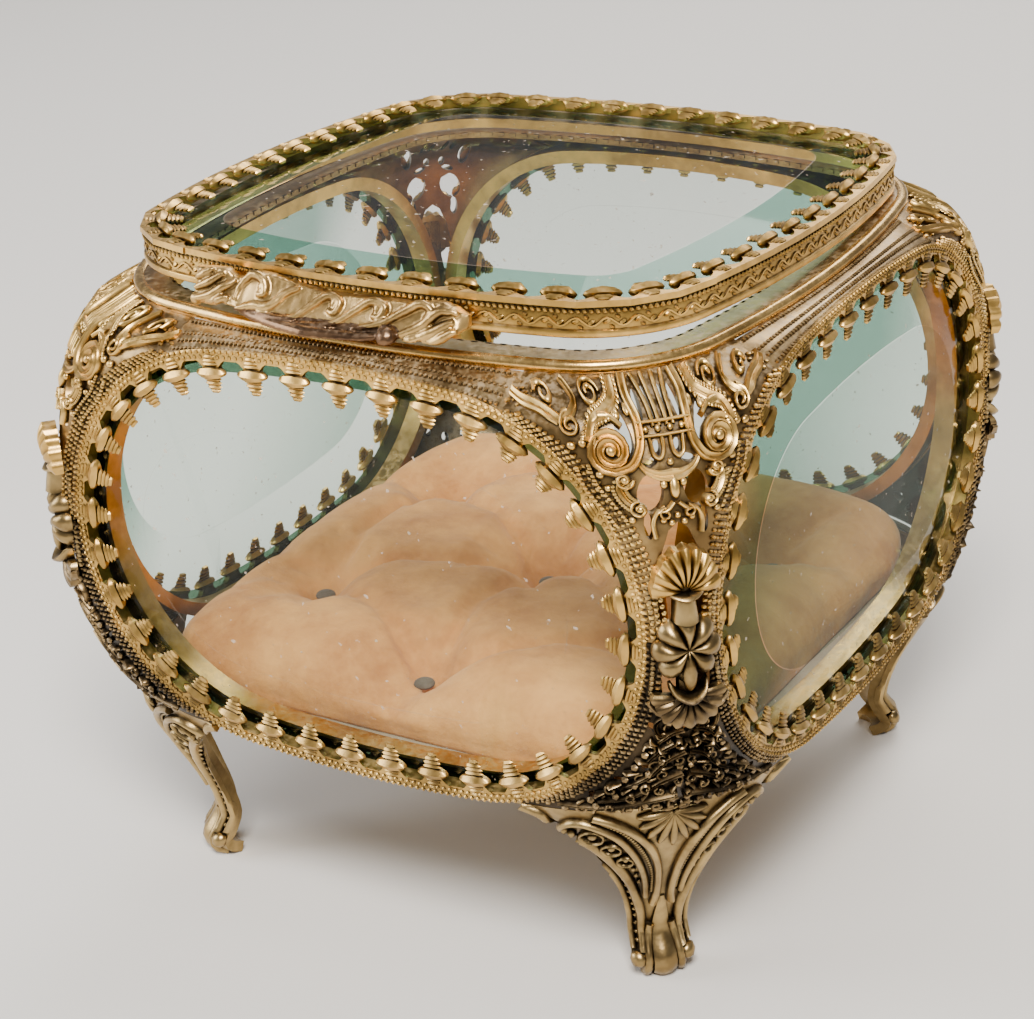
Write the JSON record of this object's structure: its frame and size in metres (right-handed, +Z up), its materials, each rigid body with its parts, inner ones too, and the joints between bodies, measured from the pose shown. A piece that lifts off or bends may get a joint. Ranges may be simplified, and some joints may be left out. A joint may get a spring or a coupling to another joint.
{
  "type": "glass casket box",
  "caption": "Footed keepsake box with bevelled glass in claw-set metal galleries, pierced corner castings, a hinged glass lid and a tufted pad.",
  "frame": {"origin": "on the ground under the middle of the box", "axes": "+Z up, the lift handle faces -Y, the hinge is at +Y"},
  "size_m": [0.1026, 0.1026, 0.0959],
  "materials": {
    "gilt_brass": "polished, worn",
    "aged_brass": "dark patina",
    "bevelled_glass": "polished",
    "velvet": "short pile",
    "thread": "matt",
    "board": "matt"
  },
  "bodies": {
    "casket": {"front_frame": "gilt_brass", "front_glass": "bevelled_glass", "right_frame": "gilt_brass", "right_glass": "bevelled_glass", "back_frame": "gilt_brass", "back_glass": "bevelled_glass", "left_frame": "gilt_brass", "left_glass": "bevelled_glass", "upper_filigree_front_right": "gilt_brass", "lower_filigree_front_right": "aged_brass", "corner_column_front_right": "gilt_brass", "foot_front_right": "aged_brass", "upper_filigree_back_right": "gilt_brass", "lower_filigree_back_right": "aged_brass", "corner_column_back_right": "gilt_brass", "foot_back_right": "aged_brass", "upper_filigree_back_left": "gilt_brass", "lower_filigree_back_left": "aged_brass", "corner_column_back_left": "gilt_brass", "foot_back_left": "aged_brass", "upper_filigree_front_left": "gilt_brass", "lower_filigree_front_left": "aged_brass", "corner_column_front_left": "gilt_brass", "foot_front_left": "aged_brass", "top_rim": "gilt_brass", "base_plate": "aged_brass", "cushion_board": "board", "cushion": "velvet", "cushion_tufts": "thread", "hinge_body_leaf": "gilt_brass", "hinge_pin": "aged_brass"},
    "lid": {"lid_frame": "gilt_brass", "lid_glass": "bevelled_glass", "lift_handle": "gilt_brass", "hinge_lid_leaf": "gilt_brass"}
  },
  "joints": [
    {"name": "lid_hinge", "type": "hinge", "parent": "casket", "child": "lid", "pos_m": [0, 0.0479, 0.09075], "axis": [-1, 0, 0], "range_deg": [-1.5, 103.5]}
  ]
}
